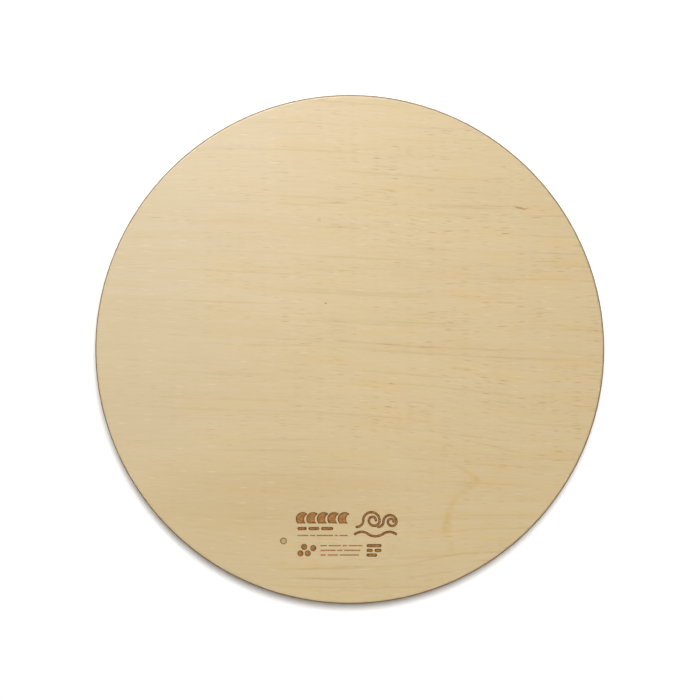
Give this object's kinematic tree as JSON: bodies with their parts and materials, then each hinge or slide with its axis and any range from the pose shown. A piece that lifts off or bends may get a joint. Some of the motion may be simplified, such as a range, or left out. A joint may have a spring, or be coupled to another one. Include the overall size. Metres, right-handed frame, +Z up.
{
  "type": "ocean drum",
  "caption": "Round hand-held ocean drum lying head down: a plywood back panel on a bent-ply shell, with a clear film head below and loose steel balls that roll over the film.",
  "frame": {"origin": "centre of the shell's foot, on the plane the drum rests on", "axes": "+Z up along the drum's axis, from the film head to the back panel; -Y towards the engraved ornament and the fill plug; the balls roll along X"},
  "size_m": [0.25, 0.25, 0.045],
  "materials": {
    "panel_birch": "sanded, bare",
    "plug_dowel": "end grain, bare",
    "shell_face_ply": "satin lacquer",
    "shell_core": "satin lacquer",
    "ring_beech": "sanded, bare",
    "clear_film": "clear gloss",
    "steel_ball": "polished"
  },
  "bodies": {
    "drum": {"back_panel": "panel_birch", "fill_plug": "plug_dowel", "shell_outer_ply": "shell_face_ply", "shell_core_ply": "shell_core", "shell_inner_ply": "shell_core", "panel_ring": "ring_beech", "head_ring": "ring_beech", "drumhead": "clear_film"},
    "loose_ball_row_01": {"ball_row_01": "steel_ball"},
    "loose_ball_row_02": {"ball_row_02": "steel_ball"},
    "loose_ball_row_03": {"ball_row_03": "steel_ball"},
    "loose_ball_row_04": {"ball_row_04": "steel_ball"},
    "loose_ball_row_05": {"ball_row_05": "steel_ball"},
    "loose_ball_row_06": {"ball_row_06": "steel_ball"},
    "loose_ball_row_07": {"ball_row_07": "steel_ball"},
    "loose_ball_row_08": {"ball_row_08": "steel_ball"},
    "loose_ball_row_09": {"ball_row_09": "steel_ball"},
    "loose_ball_row_10": {"ball_row_10": "steel_ball"},
    "loose_ball_row_11": {"ball_row_11": "steel_ball"},
    "loose_ball_row_12": {"ball_row_12": "steel_ball"},
    "loose_ball_row_13": {"ball_row_13": "steel_ball"},
    "loose_ball_row_14": {"ball_row_14": "steel_ball"},
    "loose_ball_row_15": {"ball_row_15": "steel_ball"},
    "loose_ball_row_16": {"ball_row_16": "steel_ball"}
  },
  "joints": [
    {"name": "ball_row_01_roll", "type": "slide", "parent": "drum", "child": "loose_ball_row_01", "axis": [1, 0, 0], "range_m": [-0.01418, 0.02638]},
    {"name": "ball_row_02_roll", "type": "slide", "parent": "drum", "child": "loose_ball_row_02", "axis": [1, 0, 0], "range_m": [-0.04257, 0.03039]},
    {"name": "ball_row_03_roll", "type": "slide", "parent": "drum", "child": "loose_ball_row_03", "axis": [1, 0, 0], "range_m": [-0.03332, 0.04516]},
    {"name": "ball_row_04_roll", "type": "slide", "parent": "drum", "child": "loose_ball_row_04", "axis": [1, 0, 0], "range_m": [-0.04341, 0.05949]},
    {"name": "ball_row_05_roll", "type": "slide", "parent": "drum", "child": "loose_ball_row_05", "axis": [1, 0, 0], "range_m": [-0.05128, 0.04629]},
    {"name": "ball_row_06_roll", "type": "slide", "parent": "drum", "child": "loose_ball_row_06", "axis": [1, 0, 0], "range_m": [-0.05944, 0.04743]},
    {"name": "ball_row_07_roll", "type": "slide", "parent": "drum", "child": "loose_ball_row_07", "axis": [1, 0, 0], "range_m": [-0.0538, 0.06074]},
    {"name": "ball_row_08_roll", "type": "slide", "parent": "drum", "child": "loose_ball_row_08", "axis": [1, 0, 0], "range_m": [-0.04721, 0.06204]},
    {"name": "ball_row_09_roll", "type": "slide", "parent": "drum", "child": "loose_ball_row_09", "axis": [1, 0, 0], "range_m": [-0.05296, 0.06645]},
    {"name": "ball_row_10_roll", "type": "slide", "parent": "drum", "child": "loose_ball_row_10", "axis": [1, 0, 0], "range_m": [-0.05576, 0.05047]},
    {"name": "ball_row_11_roll", "type": "slide", "parent": "drum", "child": "loose_ball_row_11", "axis": [1, 0, 0], "range_m": [-0.05341, 0.05519]},
    {"name": "ball_row_12_roll", "type": "slide", "parent": "drum", "child": "loose_ball_row_12", "axis": [1, 0, 0], "range_m": [-0.04978, 0.05058]},
    {"name": "ball_row_13_roll", "type": "slide", "parent": "drum", "child": "loose_ball_row_13", "axis": [1, 0, 0], "range_m": [-0.03975, 0.05155]},
    {"name": "ball_row_14_roll", "type": "slide", "parent": "drum", "child": "loose_ball_row_14", "axis": [1, 0, 0], "range_m": [-0.03874, 0.05273]},
    {"name": "ball_row_15_roll", "type": "slide", "parent": "drum", "child": "loose_ball_row_15", "axis": [1, 0, 0], "range_m": [-0.05337, 0.02668]},
    {"name": "ball_row_16_roll", "type": "slide", "parent": "drum", "child": "loose_ball_row_16", "axis": [1, 0, 0], "range_m": [-0.01991, 0.02685]}
  ]
}
